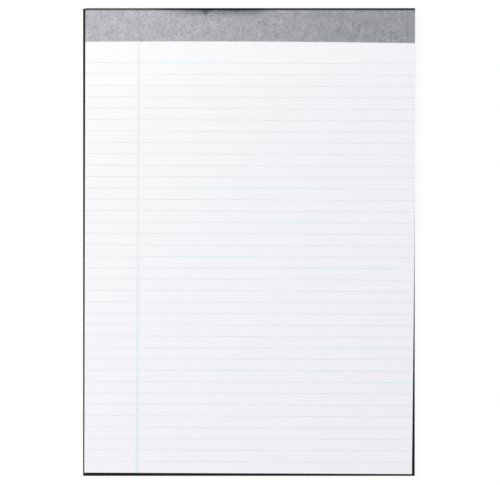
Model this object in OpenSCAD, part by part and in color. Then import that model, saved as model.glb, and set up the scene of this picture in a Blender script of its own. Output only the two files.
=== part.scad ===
// Head-bound writing pad: a block of ruled sheets on a backing board, stitched with wire at the
// head and bound there with one folded strip of tape.
// X runs along the rules, Y from the foot to the head, and Z up from the table.
// The origin is on the table, under the middle of the pad.

/* [Sheets] */
// Width of the sheets
sheet_w = 208.6; // [120:0.1:300]
// Length of the sheets, at their middle
sheet_l = 295; // [180:0.1:430]
// Thickness of one sheet
sheet_t = 0.1; // [0.06:0.01:0.2]
// Number of sheets
sheet_count = 50; // [20:1:100]
// Turn of the sheets on the board, clockwise from above, in degrees
sheet_skew = 0.25; // [0:0.05:0.5]
// Shift of the sheets on the board, to the right
sheet_shift = 0.3; // [-1:0.1:1]

/* [Backing board] */
// Thickness of the board
board_t = 1; // [0.9:0.1:3]
// How far the board reaches past each side of the sheets, before their turn and shift
board_side = 1; // [0.5:0.1:5]
// How far the board reaches past the foot of the sheets, at the middle
board_foot = 1.7; // [1:0.1:8]

/* [Binding tape] */
// Thickness of the tape
tape_t = 0.2; // [0.1:0.05:0.3]
// How far the tape reaches down the front, at the middle
front_flap = 21.6; // [16:0.1:40]
// How far the tape reaches down the back
back_flap = 20; // [14:0.5:40]
// Outer radius of the fold over the head of the sheets
front_fold_r = 1.2; // [0.5:0.1:2]
// Outer radius of the fold under the head of the board
back_fold_r = 0.6; // [0.4:0.1:0.8]

/* [Wire stitches] */
// Number of stitches
stitch_count = 2; // [2:1:4]
// Diameter of the wire
wire_d = 0.5; // [0.4:0.05:0.6]
// Width of a stitch, from the middle of one leg to the middle of the other
stitch_w = 13; // [10:0.5:16]
// Straight length of each clinched end
clinch_l = 4.5; // [2:0.5:4.5]
// Radius of the bends, at the middle of the wire
bend_r = 0.45; // [0.35:0.05:0.8]
// Distance from the head of the sheets to the stitches
stitch_inset = 9; // [5:0.5:13]
// Distance from the side of the sheets to the middle of the first and last stitch
stitch_side = 50; // [15:1:50]
// Gap round the wire in the paper and the board
wire_gap = 0.05; // [0.03:0.01:0.08]

/* [Ruling] */
// Distance from one rule to the next
rule_pitch = 7.22; // [5:0.02:12]
// Width of a rule
rule_w = 0.4; // [0.1:0.05:0.6]
// Distance from the tape to the first rule
rule_top = 13.2; // [6:0.1:40]
// Distance from the left side of the sheets to the middle of the margin line
margin_inset = 33.6; // [15:0.1:60]
// Distance between the two lines of the margin, centre to centre
margin_gap = 1; // [0.8:0.1:3]
// Width of each line of the margin
margin_w = 0.7; // [0.1:0.05:0.7]
// Thickness of one layer of ink
ink_t = 0.02; // [0.01:0.01:0.05]

/* [Hidden] */
$fn = 64;
// How far a cutting shape runs past what it cuts
overcut = 1;

board_w = sheet_w + 2 * board_side;
board_l = sheet_l + board_foot;
pad_l = board_l + tape_t;
foot_y = -pad_l / 2;
head_y = foot_y + board_l;
top_z = board_t + sheet_count * sheet_t;

// Places on the sheets, from their own middle
sheet_foot_y = -sheet_l / 2;
sheet_head_y = sheet_l / 2;
tape_edge_y = sheet_head_y - front_flap;
margin_x = margin_inset - sheet_w / 2;
margin_l = sheet_l - front_flap;
stitch_y = sheet_head_y - stitch_inset;
stitch_step = (sheet_w - 2 * stitch_side) / (stitch_count - 1);

// The askew sheets are made long by this much and then cut flush with the board at the head
head_trim = sheet_w * tan(sheet_skew) + overcut;
// The last rule stays at least one pitch above the foot
rule_count = floor((tape_edge_y - rule_top - sheet_foot_y) / rule_pitch);

crown_z = top_z - wire_gap - wire_d / 2;
clinch_z = tape_t + wire_gap + wire_d / 2;
// The grooves leave a gap beside the leg holes too, so they are two gaps wider than the wire on each side
groove_w = wire_d + 4 * wire_gap;
groove_end_x = (stitch_w + groove_w) / 2;
straight_x = stitch_w / 2 - bend_r;

// Puts a shape on the sheets, which lie askew on the board
module on_sheets()
    translate([sheet_shift, head_y - sheet_l / 2, 0])
        rotate(-sheet_skew)
            children();

// A box as wide as the sheets, with the same sides
module sheet_column(low_y, high_y, low_z, high_z)
    on_sheets()
        translate([-sheet_w / 2, low_y, low_z])
            cube([sheet_w, high_y - low_y, high_z - low_z]);

// Runs a section, drawn from the head of the board with Z up, along the whole width
module along_width()
    translate([-board_w / 2 - overcut, head_y, 0])
        rotate([90, 0, 90])
            linear_extrude(board_w + 2 * overcut)
                children();

// What is cut off a square corner to round it
module corner_waste(r)
    difference() {
        square(r + overcut);
        circle(r);
    }

// Section of the bound end: what the tape holds, or that grown by the tape
module bound_end(reach, grow = 0) {
    low = tape_t - grow;
    high = top_z + grow;
    front_r = front_fold_r - tape_t + grow;
    back_r = back_fold_r - tape_t + grow;
    difference() {
        translate([-reach, low])
            square([reach + grow, high - low]);
        translate([grow - front_r, high - front_r])
            corner_waste(front_r);
        translate([grow - back_r, low + back_r])
            mirror([0, 1])
                corner_waste(back_r);
    }
}

module at_stitches()
    on_sheets()
        for (i = [0 : stitch_count - 1])
            translate([stitch_side - sheet_w / 2 + i * stitch_step, stitch_y, 0])
                children();

// One stitch: a crown, two legs and two ends clinched inwards
module stitch() {
    translate([-straight_x, 0, crown_z])
        rotate([0, 90, 0])
            cylinder(d = wire_d, h = 2 * straight_x);
    for (side = [0, 1])
        mirror([side, 0, 0]) {
            translate([stitch_w / 2, 0, clinch_z + bend_r])
                cylinder(d = wire_d, h = crown_z - clinch_z - 2 * bend_r);
            translate([straight_x, 0, crown_z - bend_r])
                rotate([90, 0, 0])
                    wire_bend();
            translate([straight_x, 0, clinch_z + bend_r])
                rotate([-90, 0, 0])
                    wire_bend();
            translate([straight_x - clinch_l, 0, clinch_z])
                rotate([0, 90, 0])
                    cylinder(d = wire_d, h = clinch_l);
        }
}

module wire_bend()
    rotate_extrude(angle = 90)
        translate([bend_r, 0])
            circle(d = wire_d);

// The room that a stitch has pressed for itself: holes for its legs, grooves for its crown and its
// ends, and a deeper pocket at each bend
module stitch_room() {
    for (side = [0, 1])
        mirror([side, 0, 0]) {
            translate([stitch_w / 2, 0, clinch_z])
                cylinder(d = wire_d + 2 * wire_gap, h = crown_z - clinch_z);
            groove(straight_x, crown_z - bend_r, top_z + overcut);
            groove(straight_x, tape_t - overcut, clinch_z + bend_r);
        }
    groove(-groove_end_x, crown_z - groove_w / 2, top_z + overcut);
    groove(-groove_end_x, tape_t - overcut, clinch_z + groove_w / 2);
}

// A straight groove from low_x to the end of a stitch's room
module groove(low_x, low_z, high_z)
    translate([low_x, -groove_w / 2, low_z])
        cube([groove_end_x - low_x, groove_w, high_z - low_z]);

module rule_strips()
    on_sheets()
        for (i = [0 : rule_count - 1])
            translate([-sheet_w / 2, tape_edge_y - rule_top - i * rule_pitch - rule_w / 2, top_z])
                cube([sheet_w, rule_w, ink_t]);

// The sheets: askew on the board, cut flush with it at the head, their top edge rounded there
module sheet_block()
    color("#f3f3f7")
        difference() {
            intersection() {
                sheet_column(sheet_foot_y, sheet_head_y + head_trim, board_t, top_z);
                along_width()
                    bound_end(board_l + overcut);
            }
            at_stitches()
                stitch_room();
        }

// The board, pressed in where the tape lies, so that the back of the pad is flat
module backing_board()
    color("#242427")
        difference() {
            translate([-board_w / 2, foot_y, 0])
                cube([board_w, board_l, board_t]);
            intersection() {
                sheet_column(sheet_foot_y, sheet_head_y + head_trim, -overcut, board_t);
                along_width()
                    difference() {
                        translate([-back_flap, -overcut])
                            square([back_flap + overcut, board_t + overcut]);
                        bound_end(back_flap + overcut);
                    }
            }
            at_stitches()
                stitch_room();
        }

// The tape: one strip from the front, over the head, to the back, cut flush with the sheets' sides
module binding_tape() {
    reach = max(front_flap, back_flap) + head_trim;
    color("#aaa9ae")
        difference() {
            intersection() {
                sheet_column(sheet_foot_y, sheet_head_y + head_trim, -overcut, top_z + tape_t + overcut);
                along_width()
                    difference() {
                        bound_end(reach, tape_t);
                        bound_end(reach + overcut);
                        translate([-reach - overcut, -overcut])
                            square([reach + overcut - back_flap, board_t + overcut]);
                    }
            }
            // The front flap ends in line with the rules
            on_sheets()
                translate([-board_w, sheet_foot_y, board_t])
                    cube([2 * board_w, tape_edge_y - sheet_foot_y, top_z + overcut]);
        }
}

module wire_stitches()
    color("#b4b6b8")
        at_stitches()
            stitch();

module rule_lines()
    color("#dce0e6")
        rule_strips();

// The margin runs from the tape to the foot, printed over the rules
module margin_lines()
    color("#dce7ee")
        difference() {
            on_sheets()
                for (side = [-1, 1])
                    translate([margin_x + side * margin_gap / 2 - margin_w / 2, sheet_foot_y, top_z])
                        cube([margin_w, margin_l, 2 * ink_t]);
            rule_strips();
        }

sheet_block();
backing_board();
binding_tape();
wire_stitches();
rule_lines();
margin_lines();
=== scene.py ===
"""Looks of a head-bound writing pad: ruled leaves on a charcoal board, bound at the head with grey tape.

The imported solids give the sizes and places. The leaves, the printed lines and the tape are made here in
more detail, and the board and the wire stitches keep their solids and get their finish.
Lengths are in metres. X runs along the rules, Y from the foot to the bound head, and Z up.
"""
import math

import bpy
from mathutils import Matrix, Vector


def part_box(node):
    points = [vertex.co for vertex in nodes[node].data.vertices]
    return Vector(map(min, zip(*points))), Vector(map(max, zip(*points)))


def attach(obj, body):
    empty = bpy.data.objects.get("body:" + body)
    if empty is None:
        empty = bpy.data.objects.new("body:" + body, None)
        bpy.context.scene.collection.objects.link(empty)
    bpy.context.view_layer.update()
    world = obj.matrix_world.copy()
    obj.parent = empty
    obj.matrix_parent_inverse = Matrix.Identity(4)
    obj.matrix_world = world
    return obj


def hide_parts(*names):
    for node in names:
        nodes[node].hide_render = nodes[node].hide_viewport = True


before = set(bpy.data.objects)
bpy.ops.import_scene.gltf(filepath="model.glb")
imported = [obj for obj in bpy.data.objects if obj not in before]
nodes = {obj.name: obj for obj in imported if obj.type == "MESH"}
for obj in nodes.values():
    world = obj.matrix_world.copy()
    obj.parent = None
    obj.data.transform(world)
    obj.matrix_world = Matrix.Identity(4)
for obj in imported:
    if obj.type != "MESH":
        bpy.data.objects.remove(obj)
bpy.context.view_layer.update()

MM = 0.001
# Points of a solid that are nearer than this along an axis lie in the same place on it
SAME_PLACE = 0.005 * MM
# A direction with this much Z finds the points of a top face first, or of a bottom face with it negative
STEEP = 100

# Leaves: air is the gap between two of them, stray how far one lies off by itself, and drift how wide
# handfuls of them wander together
LEAF_COUNT = 50
LEAF_AIR = 0.006 * MM
LEAF_STRAY = 0.1 * MM
LEAF_DRIFT = 0.22 * MM
LEAF_HANDFULS = 5
STRAY_SEED = 7
# Length that is added at the head and trimmed flush again, and what is trimmed off at the foot
LEAF_SPARE = 4 * MM
FOOT_TRIM = 0.2 * MM
# Points along the width and along the length of a leaf
LEAF_CUTS_X = 22
LEAF_CUTS_Y = 26
# Points across a printed line
LINE_CUTS = 2
# Lift of the foot's corners: it grows with these powers of the nearness to the corner and of a leaf's rank
CORNER_REACH = 75 * MM
LEFT_LIFT = 0.4 * MM
RIGHT_LIFT = 0.9 * MM
CORNER_POWER = 2
RANK_POWER = 3
# The leaves reach past the solid's sides at the head, and their sides run in towards the foot
LEFT_SPREAD = 0.22 * MM
RIGHT_SPREAD = 0.33 * MM
LEFT_CUT = 0.6 * MM
RIGHT_CUT = 1 * MM
RIGHT_RUN = 140 * MM
CUT_REACH = 30 * MM
# Painted light: the leaves are a little whiter near the binding, from one place in Y to another
PAINTED_LIGHT_START = 80 * MM
PAINTED_LIGHT_END = 125 * MM
PAINTED_LIGHT_GAIN = 1.025
PAPER_ROUGHNESS = 0.9
PAPER_SPECULAR = 0.15

# Inks: size of the blue streaks, how much likelier they get by the metre, and the seed of the noise
RULE_STREAK = (130 * MM, 4 * MM, 1)
RULE_LEAN = (0.6, 0, 0)
RULE_SEED = 1710
MARGIN_STREAK = (4 * MM, 110 * MM, 1)
MARGIN_LEAN = (0, -3.5, 0)
MARGIN_SEED = 1299

# Binding tape: bow of its front edge, reach of its left end, and the parts that its outline is cut into
EDGE_BOW = 0.6 * MM
TAPE_SPREAD = 0.3 * MM
TAPE_STATIONS = 120
FLAP_CUTS = 14
FOLD_CUTS = 10
SPINE_CUTS = 4
SHARP_DEGREES = 40

# Camera, straight above the pad: pixels across the picture and the size of one of them on the pad
IMAGE_W = 500
PHOTO_PIXEL = 0.6352 * MM
CAMERA_LENS = 400
CAMERA_SENSOR = 36
CAMERA_X = 0.7 * MM
CAMERA_Y = -0.25 * MM

# Light: even from all round, with a weak lamp, over a floor that glows and takes a shadow
SKY_LEVEL = 0.706
KEY_PLACE = Vector((-0.7, 0.3, 0.9))
KEY_SIZE = 0.5
KEY_WATTS = 5
FLOOR_W = 12
FLOOR_DROP = 0.1 * MM
FLOOR_SHADE = 0.15
FLOOR_GLOW = 0.875
FLOOR_BOUNCE = 0.8


# Places that come from the frame

def farthest(node, *direction):
    """The point of a solid that lies farthest in a direction."""
    points = (vertex.co for vertex in nodes[node].data.vertices)
    return max(points, key=Vector(direction).dot).copy()


block_low, block_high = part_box("sheet_block")
tape_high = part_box("binding_tape")[1]
foot_left = farthest("sheet_block", -1, -1, 0)
foot_right = farthest("sheet_block", 1, -1, 0)
foot_run = (foot_right - foot_left).xy
foot_middle = (foot_left + foot_right) / 2

# The sheets' own frame: X along the rules from their middle, Y up from their foot
sheet_w = foot_run.length
sheet_turn = math.atan2(foot_run.y, foot_run.x)
sheet_place = Vector((foot_middle.x, foot_middle.y, 0))
sheet_frame = Matrix.Translation(sheet_place) @ Matrix.Rotation(sheet_turn, 4, "Z")
sheet_l = (block_high.y - foot_middle.y) / math.cos(sheet_turn)
leaf_w = sheet_w + LEFT_SPREAD + RIGHT_SPREAD
leaf_x = (RIGHT_SPREAD - LEFT_SPREAD) / 2


def places_on_sheet(node, axis):
    """The places along an axis of the sheets' own frame where a solid has points, in order."""
    back = sheet_frame.inverted()
    places = sorted((back @ vertex.co)[axis] for vertex in nodes[node].data.vertices)
    return [p for i, p in enumerate(places) if i == 0 or p - places[i - 1] > SAME_PLACE]


# The near and far edge of each printed line, in turn
rule_edges = places_on_sheet("rule_lines", 1)
margin_edges = places_on_sheet("margin_lines", 0)
margin_ends = places_on_sheet("margin_lines", 1)
rule_ink_t = places_on_sheet("rule_lines", 2)[-1] - block_high.z
margin_ink_t = places_on_sheet("margin_lines", 2)[-1] - block_high.z

tape_t = tape_high.z - block_high.z
front_fold_r = tape_high.y - farthest("binding_tape", 0, 1, STEEP).y
back_fold_r = tape_high.y - farthest("binding_tape", 0, 1, -STEEP).y
# The margin starts at the front edge of the tape
front_edge_y = margin_ends[-1]
back_edge_y = farthest("binding_tape", 0, -1, -STEEP).y


# Nodes and colours

def linear(code):
    """Linear colour of an sRGB hex value."""
    parts = [int(code[i:i + 2], 16) / 255 for i in (1, 3, 5)]
    return [c / 12.92 if c <= 0.04045 else ((c + 0.055) / 1.055) ** 2.4 for c in parts] + [1]


def add(tree, kind, sockets=(), **settings):
    """Adds a node. A socket, by name or by number, takes a value, an output, or a node's first output."""
    node = tree.nodes.new(kind)
    for name, value in settings.items():
        setattr(node, name, value)
    pairs = sockets.items() if isinstance(sockets, dict) else enumerate(sockets)
    for key, value in pairs:
        socket = node.inputs[key] if isinstance(key, int) else next(
            s for s in node.inputs if s.enabled and key == s.name)
        if isinstance(value, bpy.types.Node):
            value = next(s for s in value.outputs if s.enabled)
        if isinstance(value, bpy.types.NodeSocket):
            tree.links.new(value, socket)
        else:
            socket.default_value = value
    return node


def maths(tree, operation, *values, **settings):
    """One step of arithmetic."""
    return add(tree, "ShaderNodeMath", values, operation=operation, **settings)


def vectors(tree, operation, *values):
    """One step of arithmetic on vectors or colours."""
    return add(tree, "ShaderNodeVectorMath", values, operation=operation)


def scaled(tree, vector, factor):
    """A vector times a number."""
    return add(tree, "ShaderNodeVectorMath", {0: vector, "Scale": factor}, operation="SCALE")


def noise(tree, place, size, detail, dimensions="3D", **sockets):
    """Noise whose features are about as large as size."""
    values = {"Vector": place, "Scale": 1 / size, "Detail": detail, **sockets}
    return add(tree, "ShaderNodeTexNoise", values, noise_dimensions=dimensions)


def blend(tree, factor, first, second):
    """A mix of two colours. Each is a hex value or comes from a node."""
    colours = [linear(c) if isinstance(c, str) else c for c in (first, second)]
    values = {"Factor": factor, "A": colours[0], "B": colours[1]}
    return add(tree, "ShaderNodeMix", values, data_type="RGBA")


def ramp(tree, value, start, end, low=0, high=1):
    """Goes straight from low to high while a value goes from start to end, and no further."""
    values = {"Value": value, "From Min": start, "From Max": end, "To Min": low, "To Max": high}
    return add(tree, "ShaderNodeMapRange", values)


def smooth_ramp(tree, value, start, end, low=0, high=1):
    """Goes smoothly from low to high while a value goes from start to end, and no further."""
    values = {"Value": value, "From Min": start, "From Max": end, "To Min": low, "To Max": high}
    return add(tree, "ShaderNodeMapRange", values, interpolation_type="SMOOTHSTEP")


def new_material(name):
    """An empty material, with its tree."""
    material = bpy.data.materials.new(name)
    material.use_nodes = True
    material.node_tree.nodes.clear()
    return material, material.node_tree


def set_surface(tree, sockets):
    """Ends a material with one surface."""
    surface = add(tree, "ShaderNodeBsdfPrincipled", sockets)
    add(tree, "ShaderNodeOutputMaterial", {"Surface": surface})


# Finishes

def painted_light_by_binding(tree, place, colour):
    """A colour of the leaves with painted light: it gets a little lighter towards the binding."""
    up_sheet = add(tree, "ShaderNodeSeparateXYZ", [place]).outputs["Y"]
    gain = smooth_ramp(tree, up_sheet, PAINTED_LIGHT_START, PAINTED_LIGHT_END, 1, PAINTED_LIGHT_GAIN)
    return vectors(tree, "MULTIPLY", colour, gain)


def uncoated_writing_paper():
    """Machine-made white paper with a cool tint, and painted light that turns the tint neutral towards
    the left of the head. It is dead matt and finely toothed, a little cloudy where the fibres lie thicker,
    and greyer on the cut edges, where single leaves show as lines of painted shade at the gaps between them."""
    cloud_size = 7 * MM
    painted_tint_run = (20 * MM, 170 * MM)
    # Lines of painted shade at the gaps between leaves are drawn about three leaves wide, because single
    # leaves are too fine to show
    layer_size = 0.3 * MM
    layers_a_metre = 30
    # Faces with less Z than this in their normal are cut edges
    edge_limit = 0.5
    # The tooth of the paper is drawn coarser than its fibres, which are too fine to show
    tooth_size = 0.6 * MM
    tooth_depth = 0.04 * MM

    material, tree = new_material("uncoated_writing_paper")
    place = add(tree, "ShaderNodeTexCoord").outputs["Object"]
    cloud = noise(tree, place, cloud_size, 3, Roughness=0.6)
    cool = blend(tree, cloud, "#f4f3f8", "#f8f7fb")
    painted_light_tint = blend(tree, cloud, "#f5f5f6", "#f9f9fa")
    # Painted light: the cool tint turns neutral towards the left of the head, where the lamp's light is
    # strongest
    to_corner = vectors(tree, "DOT_PRODUCT", place, (-1, 1, 0)).outputs["Value"]
    tone = blend(tree, ramp(tree, to_corner, *painted_tint_run), cool, painted_light_tint)
    # Painted light towards the binding
    face = painted_light_by_binding(tree, place, tone)

    layers = add(tree, "ShaderNodeMapping", {
        "Vector": place, "Scale": (layers_a_metre, layers_a_metre, 1 / layer_size)})
    # Greyer cut edges, with painted shade in lines at the gaps between leaves
    edge = blend(tree, noise(tree, layers, 1, 2), "#d8d7db", "#fbfafc")
    normal = add(tree, "ShaderNodeNewGeometry").outputs["Normal"]
    upright = maths(tree, "ABSOLUTE", add(tree, "ShaderNodeSeparateXYZ", [normal]).outputs["Z"])
    is_edge = maths(tree, "LESS_THAN", upright, edge_limit)

    tooth = noise(tree, place, tooth_size, 3)
    bump = add(tree, "ShaderNodeBump", {"Height": tooth, "Strength": 0.3, "Distance": tooth_depth})
    set_surface(tree, {"Base Color": blend(tree, is_edge, face, edge), "Roughness": PAPER_ROUGHNESS,
                       "Specular IOR Level": PAPER_SPECULAR, "Normal": bump})
    return material


def ruling_ink(name, thin, grey, blue, streak, lean, seed):
    """Water-based ink laid by a ruling machine's discs and soaked into the paper. It is as matt as the
    paper and runs thinner and fuller along the line. It dries grey, and blue in streaks along single lines,
    with more of them towards the side that lean points to."""
    flow_size = 40 * MM
    soak_size = 1.5 * MM
    flow_weight = 0.7
    # Sums of noise between which the ink goes from thin to full, and from grey to blue
    full_run = (0.5, 1.35)
    blue_run = (0.55, 0.67)

    material, tree = new_material(name)
    place = add(tree, "ShaderNodeTexCoord").outputs["Object"]
    flow = noise(tree, place, flow_size, 2, "4D", W=seed)
    soak = noise(tree, place, soak_size, 2)
    density = maths(tree, "MULTIPLY_ADD", flow, flow_weight, soak)
    streaks = vectors(tree, "DIVIDE", place, streak)
    streaky = noise(tree, streaks, 1, 1, "4D", W=seed)
    leaning = vectors(tree, "DOT_PRODUCT", place, lean).outputs["Value"]
    bluish = maths(tree, "ADD", streaky, leaning)
    full = blend(tree, smooth_ramp(tree, bluish, *blue_run), grey, blue)
    ink = blend(tree, ramp(tree, density, *full_run), thin, full)
    # The ink gets the same painted light towards the binding
    set_surface(tree, {"Base Color": painted_light_by_binding(tree, place, ink), "Roughness": PAPER_ROUGHNESS,
                       "Specular IOR Level": PAPER_SPECULAR})
    return material


def leather_grain_binding_paper():
    """Grey binding paper, printed with a mottle and embossed with a leather grain. It has a low sheen,
    painted light that is strongest at its left end, painted shade and light in its grain, painted shade
    along its fold over the head, and a band of painted shade below the fold."""
    # Sizes of the mottle and of the grain
    fleck_size = 1.7 * MM
    cloud_size = 6 * MM
    patch_size = 16 * MM
    bend_size = 0.9 * MM
    bend_reach = 0.5 * MM
    pebble_size = 0.8 * MM
    tooth_size = 0.25 * MM
    grain_depth = 0.07 * MM
    # Strength of the mottle: in patches from weak to strong, over clouds, around the paper's own light
    patch_run = (0.35, 0.65)
    patch_gain = (0.5, 1.15)
    cloud_weight = 0.5
    mottle_gain = 0.86
    paper_light = 1.03
    # Shape of the grain: width of a crease in pebbles, weight of the tooth, and painted shade of its lows
    # and painted light of its highs
    crease_w = 0.25
    tooth_weight = 0.5
    relief_top = 1.4
    relief_light = (0.87, 1.05)
    # Share of painted shade: on the fold at the left and further right, below it in thin and thick blotches,
    # and in the dark spot
    fold_shade_share = (0.84, 0.98)
    blotch_share = (0.3, 1.2)
    spot_strength = 0.75
    # The painted shade below the fold is dull
    plain_sheen = 0.45
    under_shade_sheen = 0.08
    # Places along the head, from its middle
    painted_light_run = (-66 * MM, 64 * MM)
    fold_shade_run = (-66 * MM, -52 * MM)
    under_shade_left = (-62 * MM, -32 * MM)
    under_shade_right = (16 * MM, 1 * MM)
    # Places across the head, from the start of the front fold: negative on the front, and positive on the
    # fold and the spine
    fold_front = (-0.5 * MM, -0.05 * MM)
    fold_back = (3.2 * MM, 1.9 * MM)
    under_shade_front = (-7 * MM, 0)
    under_shade_back = (5 * MM, 2.5 * MM)
    ragged_reach = 1.2 * MM
    spot_place = (-28.3 * MM, -0.8 * MM, 0)
    spot_w = 3.2 * MM
    spot_l = 3.4 * MM
    # From the edge of the spot to its dark middle, in parts of its size
    spot_run = (1, 0.2)

    material, tree = new_material("leather_grain_binding_paper")
    strip = add(tree, "ShaderNodeUVMap", uv_map="strip")
    on_strip = add(tree, "ShaderNodeSeparateXYZ", [strip]).outputs
    along = on_strip["X"]
    across = on_strip["Y"]

    # Mottle: fine flecks, stronger in some patches than in others, over broader clouds
    fleck = noise(tree, strip, fleck_size, 2, "2D", Roughness=0.5)
    cloud = noise(tree, strip, cloud_size, 2, "2D")
    patch = noise(tree, strip, patch_size, 1, "2D")
    contrast = ramp(tree, patch, *patch_run, *patch_gain)
    fleck_off = maths(tree, "SUBTRACT", fleck, 0.5)
    cloud_off = maths(tree, "SUBTRACT", cloud, 0.5)
    strong = maths(tree, "MULTIPLY", fleck_off, contrast)
    mottle = maths(tree, "MULTIPLY_ADD", cloud_off, cloud_weight, strong)
    light = maths(tree, "MULTIPLY_ADD", mottle, mottle_gain, paper_light)
    # Painted light and sheen: the grey is lighter at the left, towards the lamp, and deepens to the right
    grey = blend(tree, ramp(tree, along, *painted_light_run), "#b3b2b8", "#98999d")
    flecked = vectors(tree, "MULTIPLY", grey, light)

    # Leather grain: small pebbles with creases between them, and a finer tooth, which both show from near by
    bend = noise(tree, strip, bend_size, 1, "2D").outputs["Color"]
    bent = vectors(tree, "MULTIPLY_ADD", bend, [bend_reach] * 3, strip)
    pebble = add(tree, "ShaderNodeTexVoronoi", {"Vector": bent, "Scale": 1 / pebble_size},
                 voronoi_dimensions="2D", feature="DISTANCE_TO_EDGE")
    crown = smooth_ramp(tree, pebble.outputs["Distance"], 0, crease_w)
    tooth = noise(tree, strip, tooth_size, 2, "2D")
    relief = maths(tree, "MULTIPLY_ADD", tooth, tooth_weight, crown)
    # Painted shade in the creases of the grain and painted light on its crowns
    grain_light_and_shade = ramp(tree, relief, 0, relief_top, *relief_light)
    grained = vectors(tree, "MULTIPLY", flecked, grain_light_and_shade)

    # Painted shade along the fold: dark across the fold itself, a little less so at the left, with a ragged
    # edge on the spine
    ragged = maths(tree, "MULTIPLY_ADD", mottle, ragged_reach, across)
    fold_in = smooth_ramp(tree, across, *fold_front)
    fold_out = smooth_ramp(tree, ragged, *fold_back)
    fold = maths(tree, "MULTIPLY", fold_in, fold_out)
    fold_shade = maths(tree, "MULTIPLY", fold, ramp(tree, along, *fold_shade_run, *fold_shade_share))

    # Painted shade below the fold, left of the middle, that ends a little way down the spine
    under_shade_in = smooth_ramp(tree, along, *under_shade_left)
    under_shade_out = smooth_ramp(tree, along, *under_shade_right)
    under_shade_down = maths(tree, "POWER", ramp(tree, across, *under_shade_front), 2)
    under_shade_over = smooth_ramp(tree, ragged, *under_shade_back)
    under_shade_run = maths(tree, "MULTIPLY", under_shade_in, under_shade_out)
    under_shade_band = maths(tree, "MULTIPLY", under_shade_down, under_shade_over)
    under_shade = maths(tree, "MULTIPLY", under_shade_run, under_shade_band)
    under_shade_blotched = maths(tree, "MULTIPLY", under_shade, ramp(tree, cloud, 0, 1, *blotch_share))
    # One darker spot in the painted shade below the fold
    from_spot = vectors(tree, "SUBTRACT", strip, spot_place)
    spot_share = vectors(tree, "MULTIPLY", from_spot, (1 / spot_w, 1 / spot_l, 0))
    spot_far = vectors(tree, "LENGTH", spot_share).outputs["Value"]
    spot = smooth_ramp(tree, spot_far, *spot_run, 0, spot_strength)

    # Painted shade below the fold, with a darker spot in it
    under_shaded = blend(tree, under_shade_blotched, grained, "#3c484a")
    spotted = blend(tree, spot, under_shaded, "#48484b")
    # Painted shade along the fold over the head
    colour = blend(tree, fold_shade, spotted, "#161618")
    sheen = ramp(tree, under_shade, 0, 1, plain_sheen, under_shade_sheen)
    bump = add(tree, "ShaderNodeBump", {"Height": relief, "Strength": 0.5, "Distance": grain_depth})
    set_surface(tree, {"Base Color": colour, "Roughness": 0.55, "Specular IOR Level": sheen, "Normal": bump})
    return material


def charcoal_pulp_board():
    """Pulp board, rolled and guillotined. It is matt and nearly black, with paler fibres and a rough
    cut edge."""
    pulp_size = 3 * MM
    pulp_depth = 0.08 * MM
    fibre_size = 1.2 * MM
    # Noise from which a fibre starts to show, and at which it shows in full
    fibre_run = (0.66, 0.74)
    fibre_share = 0.35

    material, tree = new_material("charcoal_pulp_board")
    place = add(tree, "ShaderNodeTexCoord").outputs["Object"]
    pulp = noise(tree, place, pulp_size, 4, Roughness=0.65)
    dark_pulp = blend(tree, pulp, "#161618", "#2c2c2f")
    strands = noise(tree, place, fibre_size, 2, Distortion=2.5)
    flecked = blend(tree, ramp(tree, strands, *fibre_run, 0, fibre_share), dark_pulp, "#6a6a6c")
    bump = add(tree, "ShaderNodeBump", {"Height": pulp, "Strength": 0.4, "Distance": pulp_depth})
    set_surface(tree, {"Base Color": flecked, "Roughness": 0.92, "Specular IOR Level": 0.2, "Normal": bump})
    return material


def galvanised_wire():
    """Zinc-coated steel stitching wire, drawn: a soft grey metal with faint dull patches."""
    patch_size = 0.8 * MM
    bright_roughness = 0.3
    dull_roughness = 0.5

    material, tree = new_material("galvanised_wire")
    place = add(tree, "ShaderNodeTexCoord").outputs["Object"]
    patch = noise(tree, place, patch_size, 2)
    rough = ramp(tree, patch, 0, 1, bright_roughness, dull_roughness)
    zinc = blend(tree, patch, "#a9abad", "#c0c2c4")
    set_surface(tree, {"Base Color": zinc, "Metallic": 1, "Roughness": rough})
    return material


def shows_as_background(tree):
    """1 for the rays that see the background: from the camera, or by way of gloss or glass."""
    rays = add(tree, "ShaderNodeLightPath").outputs
    either = maths(tree, "MAXIMUM", rays["Is Camera Ray"], rays["Is Glossy Ray"])
    return maths(tree, "MAXIMUM", either, rays["Is Transmission Ray"])


def white_floor():
    """Plain white ground: it takes the pad's shadow, shows as white where there is none, and throws light
    back on the pad's sides."""
    material, tree = new_material("white_floor")
    seen = shows_as_background(tree)
    shade = ramp(tree, seen, 0, 1, FLOOR_BOUNCE, FLOOR_SHADE)
    ground = add(tree, "ShaderNodeBsdfDiffuse", {"Color": shade})
    glow = add(tree, "ShaderNodeEmission", {"Strength": maths(tree, "MULTIPLY", seen, FLOOR_GLOW)})
    surface = add(tree, "ShaderNodeAddShader", [ground, glow])
    add(tree, "ShaderNodeOutputMaterial", {"Surface": surface})
    return material


# Trees that repeat a shape

def new_tree(name, inputs, result="Geometry"):
    """A Geometry Nodes tree with named inputs, with its input sockets and its output node."""
    tree = bpy.data.node_groups.new(name, "GeometryNodeTree")
    for label, kind in inputs.items():
        tree.interface.new_socket(label, in_out="INPUT", socket_type=f"NodeSocket{kind}")
    tree.interface.new_socket(result, in_out="OUTPUT", socket_type=f"NodeSocket{result}")
    return tree, add(tree, "NodeGroupInput").outputs, tree.nodes.new("NodeGroupOutput")


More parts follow.
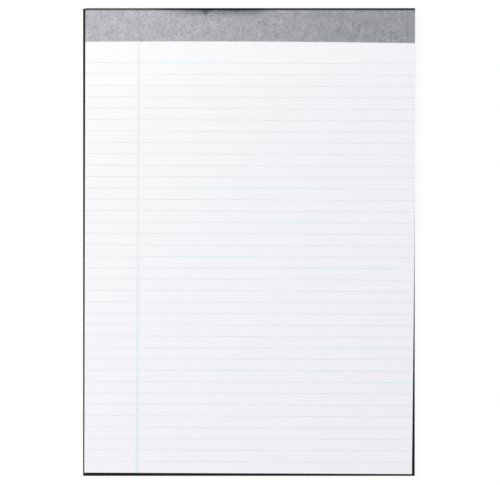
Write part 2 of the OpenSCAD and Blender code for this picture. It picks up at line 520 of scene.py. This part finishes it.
# Inputs that the trees of the leaves and of the printed lines share, and what they are set to
FORM_INPUTS = {
    "Width": "Float", "Lift Reach": "Float", "Left Lift": "Float", "Right Lift": "Float",
    "Cut Reach": "Float", "Left Cut": "Float", "Right Cut": "Float",
    "Left Run": "Float", "Right Run": "Float"}
FORM_SIZES = {
    "Width": leaf_w, "Lift Reach": CORNER_REACH, "Left Lift": LEFT_LIFT, "Right Lift": RIGHT_LIFT,
    "Cut Reach": CUT_REACH, "Left Cut": LEFT_CUT, "Right Cut": RIGHT_CUT,
    "Left Run": sheet_l, "Right Run": RIGHT_RUN}
PLACE_INPUTS = {"Place": "Vector", "Turn": "Rotation"}
PLACE_SIZES = {"Place": sheet_place, "Turn": (0.0, 0.0, sheet_turn)}


def leaf_form_tree():
    """How a leaf's points move from where a flat, square leaf has them. The two corners of the foot rise,
    along a diagonal and more near the top of the block, and the two sides run in towards the foot.
    Rank is 0 at the lowest leaf and 1 at the top one."""
    tree, given, end = new_tree("leaf_form", {"Rank": "Float", **FORM_INPUTS}, result="Vector")
    place = add(tree, "ShaderNodeSeparateXYZ", [add(tree, "GeometryNodeInputPosition")]).outputs
    fan = maths(tree, "POWER", given["Rank"], RANK_POWER)
    half = maths(tree, "MULTIPLY", given["Width"], 0.5)
    rise = 0
    shift = 0
    for name, side in (("Left", -1), ("Right", 1)):
        outward = maths(tree, "MULTIPLY", place["X"], side)
        from_side = maths(tree, "SUBTRACT", half, outward)
        from_corner = maths(tree, "ADD", from_side, place["Y"])
        corner_share = maths(tree, "DIVIDE", from_corner, given["Lift Reach"])
        near_corner = maths(tree, "SUBTRACT", 1, corner_share, use_clamp=True)
        curve = maths(tree, "POWER", near_corner, CORNER_POWER)
        rise = maths(tree, "MULTIPLY_ADD", curve, given[f"{name} Lift"], rise)
        side_share = maths(tree, "DIVIDE", from_side, given["Cut Reach"])
        near_side = maths(tree, "SUBTRACT", 1, side_share, use_clamp=True)
        run_share = maths(tree, "DIVIDE", place["Y"], given[f"{name} Run"])
        near_foot = maths(tree, "SUBTRACT", 1, run_share, use_clamp=True)
        cut = maths(tree, "MULTIPLY", near_side, given[f"{name} Cut"])
        inwards = maths(tree, "MULTIPLY", cut, near_foot)
        shift = maths(tree, "MULTIPLY_ADD", inwards, -side, shift)
    height = maths(tree, "MULTIPLY", rise, fan)
    offset = add(tree, "ShaderNodeCombineXYZ", {"X": shift, "Z": height})
    tree.links.new(offset.outputs[0], end.inputs[0])
    return tree


def leaf_stack_tree(form_tree):
    """A stack of thin leaves, each a little off its neighbours, trimmed and rounded over at the head."""
    tree, given, end = new_tree("leaf_stack", {
        "Leaves": "Int", "Bottom": "Float", "Pitch": "Float", "Air": "Float",
        "Length": "Float", "Middle": "Float", "Trim": "Float", "Spare": "Float",
        "Cuts X": "Int", "Cuts Y": "Int", "Stray": "Float", "Drift": "Float", "Seed": "Int",
        "Head": "Float", "Top": "Float", "Head Radius": "Float", "Paper": "Material",
        **FORM_INPUTS, **PLACE_INPUTS})

    # One point for each leaf, with its rank
    half = maths(tree, "MULTIPLY_ADD", given["Length"], 0.5, given["Trim"])
    first_z = maths(tree, "MULTIPLY_ADD", given["Pitch"], 0.5, given["Bottom"])
    start = add(tree, "ShaderNodeCombineXYZ", {"X": given["Middle"], "Y": half, "Z": first_z})
    step = add(tree, "ShaderNodeCombineXYZ", {"Z": given["Pitch"]})
    line = add(tree, "GeometryNodeMeshLine", {
        "Count": given["Leaves"], "Start Location": start, "Offset": step}, mode="OFFSET")
    index = add(tree, "GeometryNodeInputIndex")
    last = maths(tree, "SUBTRACT", given["Leaves"], 1)
    rank = maths(tree, "DIVIDE", index, last)
    ranked = add(tree, "GeometryNodeStoreNamedAttribute", {
        "Geometry": line, "Name": "rank", "Value": rank}, data_type="FLOAT", domain="POINT")

    stray = add(tree, "FunctionNodeRandomValue", {
        "Min": (-1, -1, 0), "Max": (1, 1, 0), "Seed": given["Seed"]}, data_type="FLOAT_VECTOR")
    scattered = scaled(tree, stray, given["Stray"])
    # Handfuls of leaves that were jogged together share a drift
    wander = add(tree, "ShaderNodeTexNoise", {"W": rank, "Scale": LEAF_HANDFULS, "Detail": 1},
                 noise_dimensions="1D").outputs["Color"]
    centred = vectors(tree, "SUBTRACT", wander, (0.5, 0.5, 0.5))
    level = vectors(tree, "MULTIPLY", centred, (1, 1, 0))
    drift = scaled(tree, level, given["Drift"])
    shift = vectors(tree, "ADD", scattered, drift)
    # The top leaf lies true, because the printed lines are on it
    below_top = maths(tree, "LESS_THAN", index, last)
    settled = scaled(tree, shift, below_top)
    spread = add(tree, "GeometryNodeSetPosition", {"Geometry": ranked, "Offset": settled})

    # The leaf is made too long at the head, which is trimmed below
    thick = maths(tree, "SUBTRACT", given["Pitch"], given["Air"])
    longer = maths(tree, "ADD", given["Length"], given["Spare"])
    size = add(tree, "ShaderNodeCombineXYZ", {"X": given["Width"], "Y": longer, "Z": thick})
    leaf = add(tree, "GeometryNodeMeshCube", {
        "Size": size, "Vertices X": given["Cuts X"], "Vertices Y": given["Cuts Y"]})
    half_spare = maths(tree, "MULTIPLY", given["Spare"], 0.5)
    up_sheet = add(tree, "ShaderNodeCombineXYZ", {"Y": half_spare})
    seated = add(tree, "GeometryNodeTransform", {"Geometry": leaf, "Translation": up_sheet})
    stacked = add(tree, "GeometryNodeInstanceOnPoints", {"Points": spread, "Instance": seated})
    solid = add(tree, "GeometryNodeRealizeInstances", {"Geometry": stacked})

    own_rank = add(tree, "GeometryNodeInputNamedAttribute", {"Name": "rank"}, data_type="FLOAT")
    form = add(tree, "GeometryNodeGroup", node_tree=form_tree)
    tree.links.new(own_rank.outputs["Attribute"], form.inputs["Rank"])
    for label in FORM_INPUTS:
        tree.links.new(given[label], form.inputs[label])
    formed = add(tree, "GeometryNodeSetPosition", {"Geometry": solid, "Offset": form})
    turned = add(tree, "GeometryNodeTransform", {
        "Geometry": formed, "Translation": given["Place"], "Rotation": given["Turn"]})

    # The head is trimmed to a straight line, and to an arc under the front fold of the tape
    place = add(tree, "ShaderNodeSeparateXYZ", [add(tree, "GeometryNodeInputPosition")]).outputs
    depth = maths(tree, "SUBTRACT", given["Top"], place["Z"])
    above = maths(tree, "SUBTRACT", given["Head Radius"], depth)
    rise = maths(tree, "MAXIMUM", above, 0)
    rise_2 = maths(tree, "MULTIPLY", rise, rise)
    radius_2 = maths(tree, "MULTIPLY", given["Head Radius"], given["Head Radius"])
    left_2 = maths(tree, "SUBTRACT", radius_2, rise_2)
    reach_2 = maths(tree, "MAXIMUM", left_2, 0)
    reach = maths(tree, "SQRT", reach_2)
    inset = maths(tree, "SUBTRACT", given["Head Radius"], reach)
    limit = maths(tree, "SUBTRACT", given["Head"], inset)
    trimmed_y = maths(tree, "MINIMUM", place["Y"], limit)
    trimmed = add(tree, "ShaderNodeCombineXYZ", {"X": place["X"], "Y": trimmed_y, "Z": place["Z"]})
    flush = add(tree, "GeometryNodeSetPosition", {"Geometry": turned, "Position": trimmed})
    dressed = add(tree, "GeometryNodeSetMaterial", {"Geometry": flush, "Material": given["Paper"]})
    tree.links.new(dressed.outputs[0], end.inputs[0])
    return tree


def printed_lines_tree(form_tree):
    """Equal strips of ink, side by side on the top leaf, that take its form."""
    tree, given, end = new_tree("printed_lines", {
        "Lines": "Int", "First": "Vector", "Step": "Vector", "Size": "Vector",
        "Cuts X": "Int", "Cuts Y": "Int", "Ink": "Material", **FORM_INPUTS, **PLACE_INPUTS})
    line = add(tree, "GeometryNodeMeshLine", {
        "Count": given["Lines"], "Start Location": given["First"], "Offset": given["Step"]}, mode="OFFSET")
    strip = add(tree, "GeometryNodeMeshCube", {
        "Size": given["Size"], "Vertices X": given["Cuts X"], "Vertices Y": given["Cuts Y"]})
    printed = add(tree, "GeometryNodeInstanceOnPoints", {"Points": line, "Instance": strip})
    solid = add(tree, "GeometryNodeRealizeInstances", {"Geometry": printed})
    form = add(tree, "GeometryNodeGroup", node_tree=form_tree)
    form.inputs["Rank"].default_value = 1
    for label in FORM_INPUTS:
        tree.links.new(given[label], form.inputs[label])
    formed = add(tree, "GeometryNodeSetPosition", {"Geometry": solid, "Offset": form})
    turned = add(tree, "GeometryNodeTransform", {
        "Geometry": formed, "Translation": given["Place"], "Rotation": given["Turn"]})
    dressed = add(tree, "GeometryNodeSetMaterial", {"Geometry": turned, "Material": given["Ink"]})
    tree.links.new(dressed.outputs[0], end.inputs[0])
    return tree


# Pieces

def new_piece(name, mesh):
    """An object in the scene, at the origin."""
    piece = bpy.data.objects.new(name, mesh)
    bpy.context.scene.collection.objects.link(piece)
    return piece


def grow(name, tree, values):
    """Runs a tree with these inputs and keeps the result as a plain mesh."""
    piece = new_piece(name, bpy.data.meshes.new(name))
    modifier = piece.modifiers.new("grow", "NODES")
    modifier.node_group = tree
    for item in tree.interface.items_tree:
        if item.in_out == "INPUT":
            modifier[item.identifier] = values[item.name]
    depsgraph = bpy.context.evaluated_depsgraph_get()
    grown = bpy.data.meshes.new_from_object(piece.evaluated_get(depsgraph), depsgraph=depsgraph)
    piece.modifiers.remove(modifier)
    piece.data = grown
    return piece


def make_leaves(tree, paper):
    """The leaves, evenly through the height of the sheets' solid."""
    return grow("ruled_leaves", tree, {
        "Leaves": LEAF_COUNT, "Bottom": block_low.z, "Pitch": (block_high.z - block_low.z) / LEAF_COUNT,
        "Air": LEAF_AIR, "Length": sheet_l, "Middle": leaf_x, "Trim": FOOT_TRIM, "Spare": LEAF_SPARE,
        "Cuts X": LEAF_CUTS_X, "Cuts Y": LEAF_CUTS_Y, "Stray": LEAF_STRAY, "Drift": LEAF_DRIFT,
        "Seed": STRAY_SEED, "Head": block_high.y, "Top": block_high.z,
        "Head Radius": front_fold_r - tape_t, "Paper": paper, **FORM_SIZES, **PLACE_SIZES})


def make_rules(tree, ink):
    """The rules, from side to side of the top leaf. Half of each strip's height is in the paper."""
    rule_w = rule_edges[1] - rule_edges[0]
    pitch = rule_edges[2] - rule_edges[0]
    first = rule_edges[0] + rule_w / 2
    return grow("printed_rules", tree, {
        "Lines": len(rule_edges) // 2, "First": (leaf_x, first, block_high.z), "Step": (0.0, pitch, 0.0),
        "Size": (leaf_w, rule_w, 2 * rule_ink_t), "Cuts X": LEAF_CUTS_X, "Cuts Y": LINE_CUTS,
        "Ink": ink, **FORM_SIZES, **PLACE_SIZES})


def make_margin(tree, ink):
    """The margin's lines, from the trimmed foot to the tape. Half of each strip's height is in the paper."""
    line_w = margin_edges[1] - margin_edges[0]
    gap = margin_edges[2] - margin_edges[0]
    first = margin_edges[0] + line_w / 2
    foot = margin_ends[0] + FOOT_TRIM
    head = margin_ends[-1]
    return grow("printed_margin", tree, {
        "Lines": len(margin_edges) // 2, "First": (first, (foot + head) / 2, block_high.z),
        "Step": (gap, 0.0, 0.0), "Size": (line_w, head - foot, 2 * margin_ink_t), "Cuts X": LINE_CUTS,
        "Cuts Y": LEAF_CUTS_Y, "Ink": ink, **FORM_SIZES, **PLACE_SIZES})


def arc(centre_y, centre_z, radius, from_degrees, to_degrees):
    """Points of a fold, from one angle to another, each with the direction that faces out."""
    angles = [math.radians(from_degrees + (to_degrees - from_degrees) * i / FOLD_CUTS)
              for i in range(FOLD_CUTS + 1)]
    return [(centre_y + radius * math.cos(a), centre_z + radius * math.sin(a), math.cos(a), math.sin(a))
            for a in angles]


def tape_section(along):
    """Outer line of the tape's section at a place along the head, from the front edge to the back one: for
    each point its Y and Z, the direction that faces out, and the distance from the front fold."""
    head = block_high.y + tape_t
    fold_y = head - front_fold_r
    back_y = head - back_fold_r
    # The front edge bows a little towards the head
    bow = EDGE_BOW * (1 - (2 * along / sheet_w) ** 2)
    front_y = (sheet_frame @ Vector((along, front_edge_y + bow, 0))).y
    front_run = fold_y - front_y
    back_run = back_edge_y - back_y
    spine_top = tape_high.z - front_fold_r
    spine_run = back_fold_r - spine_top
    line = [(front_y + front_run * i / FLAP_CUTS, tape_high.z, 0, 1) for i in range(FLAP_CUTS)]
    line += arc(fold_y, spine_top, front_fold_r, 90, 0)
    line += [(head, spine_top + spine_run * i / SPINE_CUTS, 1, 0) for i in range(1, SPINE_CUTS)]
    line += arc(back_y, back_fold_r, back_fold_r, 0, -90)
    line += [(back_y + back_run * i / FLAP_CUTS, 0, 0, -1) for i in range(1, FLAP_CUTS + 1)]
    across = front_y - fold_y
    section = []
    for i, point in enumerate(line):
        if i:
            across += math.dist(line[i - 1][:2], point[:2])
        section.append((*point, across))
    return section


def make_tape(material):
    """One strip folded over the head, its ends flush with the sides of the sheets' solid, or nearly so."""
    turn_sin = math.sin(sheet_turn)
    turn_cos = math.cos(sheet_turn)
    outer = []
    inner = []
    strip = []
    for i in range(TAPE_STATIONS + 1):
        along = sheet_w * (i / TAPE_STATIONS - 0.5)
        for y, z, out_y, out_z, across in tape_section(along):
            up_sheet = (y - sheet_place.y - along * turn_sin) / turn_cos
            x = sheet_place.x + along * turn_cos - up_sheet * turn_sin
            # Towards its left end the tape reaches further out, and most on the front
            height = max(0, z - block_low.z) / (tape_high.z - block_low.z)
            x -= TAPE_SPREAD * height * (0.5 - along / sheet_w)
            outer.append((x, y, z))
            inner.append((x, y - out_y * tape_t, z - out_z * tape_t))
            strip.append((along, across))
    row = len(outer) // (TAPE_STATIONS + 1)
    under = len(outer)
    faces = []
    for i in range(TAPE_STATIONS):
        near = i * row
        far = near + row
        for j in range(row - 1):
            quad = (near + j, far + j, far + j + 1, near + j + 1)
            faces.append(quad)
            faces.append([under + v for v in reversed(quad)])
        faces.append((near, under + near, under + far, far))
        faces.append((near + row - 1, far + row - 1, under + far + row - 1, under + near + row - 1))
    last = TAPE_STATIONS * row
    for j in range(row - 1):
        faces.append((j, j + 1, under + j + 1, under + j))
        faces.append((last + j, under + last + j, under + last + j + 1, last + j + 1))
    mesh = bpy.data.meshes.new("head_tape")
    mesh.from_pydata(outer + inner, [], faces)
    layer = mesh.uv_layers.new(name="strip")
    for loop in mesh.loops:
        layer.data[loop.index].uv = strip[loop.vertex_index % under]
    mesh.shade_smooth()
    mesh.set_sharp_from_angle(angle=math.radians(SHARP_DEGREES))
    mesh.materials.append(material)
    return new_piece("head_tape", mesh)


def dress(node, material):
    """Gives a solid that stays its finish."""
    for slot in nodes[node].material_slots:
        slot.material = material


rule_ink = ("blue_ruling_ink", "#f1f2f6", "#dad7dd", "#b8e1e5", RULE_STREAK, RULE_LEAN, RULE_SEED)
margin_ink = ("blue_margin_ink", "#f3f3f6", "#e7e7eb", "#caecef", MARGIN_STREAK, MARGIN_LEAN, MARGIN_SEED)
form_tree = leaf_form_tree()
lines_tree = printed_lines_tree(form_tree)
leaves = make_leaves(leaf_stack_tree(form_tree), uncoated_writing_paper())
rules = make_rules(lines_tree, ruling_ink(*rule_ink))
margin = make_margin(lines_tree, ruling_ink(*margin_ink))
tape = make_tape(leather_grain_binding_paper())
dress("backing_board", charcoal_pulp_board())
dress("wire_stitches", galvanised_wire())

for piece, node, slot in ((leaves, "sheet_block", "paper"), (rules, "rule_lines", "rule_ink"),
                          (margin, "margin_lines", "margin_ink"), (tape, "binding_tape", "tape")):
    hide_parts(node)
    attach(piece, "root")


# Stage, light and camera

def make_floor():
    """A wide floor just below the pad."""
    half = FLOOR_W / 2
    corners = [(x, y, -FLOOR_DROP) for x, y in ((-half, -half), (half, -half), (half, half), (-half, half))]
    mesh = bpy.data.meshes.new("floor")
    mesh.from_pydata(corners, [], [(0, 1, 2, 3)])
    mesh.materials.append(white_floor())
    new_piece("floor", mesh)


def make_sky():
    """Even light from all round, which shows as white behind the object."""
    world = bpy.data.worlds.new("studio")
    world.use_nodes = True
    tree = world.node_tree
    tree.nodes.clear()
    level = ramp(tree, shows_as_background(tree), 0, 1, SKY_LEVEL, 1)
    sky = add(tree, "ShaderNodeBackground", {"Color": (1, 1, 1, 1), "Strength": level})
    add(tree, "ShaderNodeOutputWorld", {"Surface": sky})
    bpy.context.scene.world = world


def make_key():
    """A soft lamp, high on the left and a little towards the head."""
    lamp = bpy.data.lights.new("key", "AREA")
    lamp.shape = "DISK"
    lamp.size = KEY_SIZE
    lamp.energy = KEY_WATTS
    key = bpy.data.objects.new("key", lamp)
    key.location = KEY_PLACE
    key.rotation_euler = (-KEY_PLACE).to_track_quat("-Z", "Y").to_euler()
    key.visible_camera = False
    bpy.context.scene.collection.objects.link(key)


def make_camera():
    """Straight above the pad, far enough away that a pixel of the picture has its real size on the pad."""
    lens = bpy.data.cameras.new("camera")
    lens.lens = CAMERA_LENS
    lens.sensor_width = CAMERA_SENSOR
    camera = bpy.data.objects.new("camera", lens)
    distance = PHOTO_PIXEL * IMAGE_W * CAMERA_LENS / CAMERA_SENSOR
    camera.location = (CAMERA_X, CAMERA_Y, distance)
    bpy.context.scene.collection.objects.link(camera)
    bpy.context.scene.camera = camera


make_floor()
make_sky()
make_key()
make_camera()
bpy.context.scene.view_settings.view_transform = "Standard"
